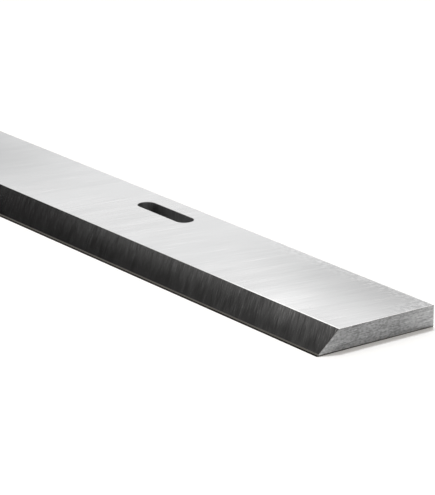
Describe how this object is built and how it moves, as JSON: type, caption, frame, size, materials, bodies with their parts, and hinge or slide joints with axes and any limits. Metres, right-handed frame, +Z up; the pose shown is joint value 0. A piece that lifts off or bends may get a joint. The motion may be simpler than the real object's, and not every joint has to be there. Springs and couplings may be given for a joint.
{
  "type": "planer knife",
  "caption": "Straight ground-steel planer knife with a single bevel, a honed cutting edge and round-ended through slots near its back edge.",
  "frame": {"origin": "middle of the underside, halfway along the knife and halfway from the cutting edge to the back edge", "axes": "+X along the knife, +Y from the cutting edge to the back edge, +Z up from the underside to the face that the bevel is ground in"},
  "size_m": [0.31, 0.032, 0.005],
  "materials": {
    "ground_steel": "surface ground across the width, bevel ground from heel to cutting edge"
  },
  "bodies": {
    "root": {"planer_knife": "ground_steel"}
  },
  "joints": []
}
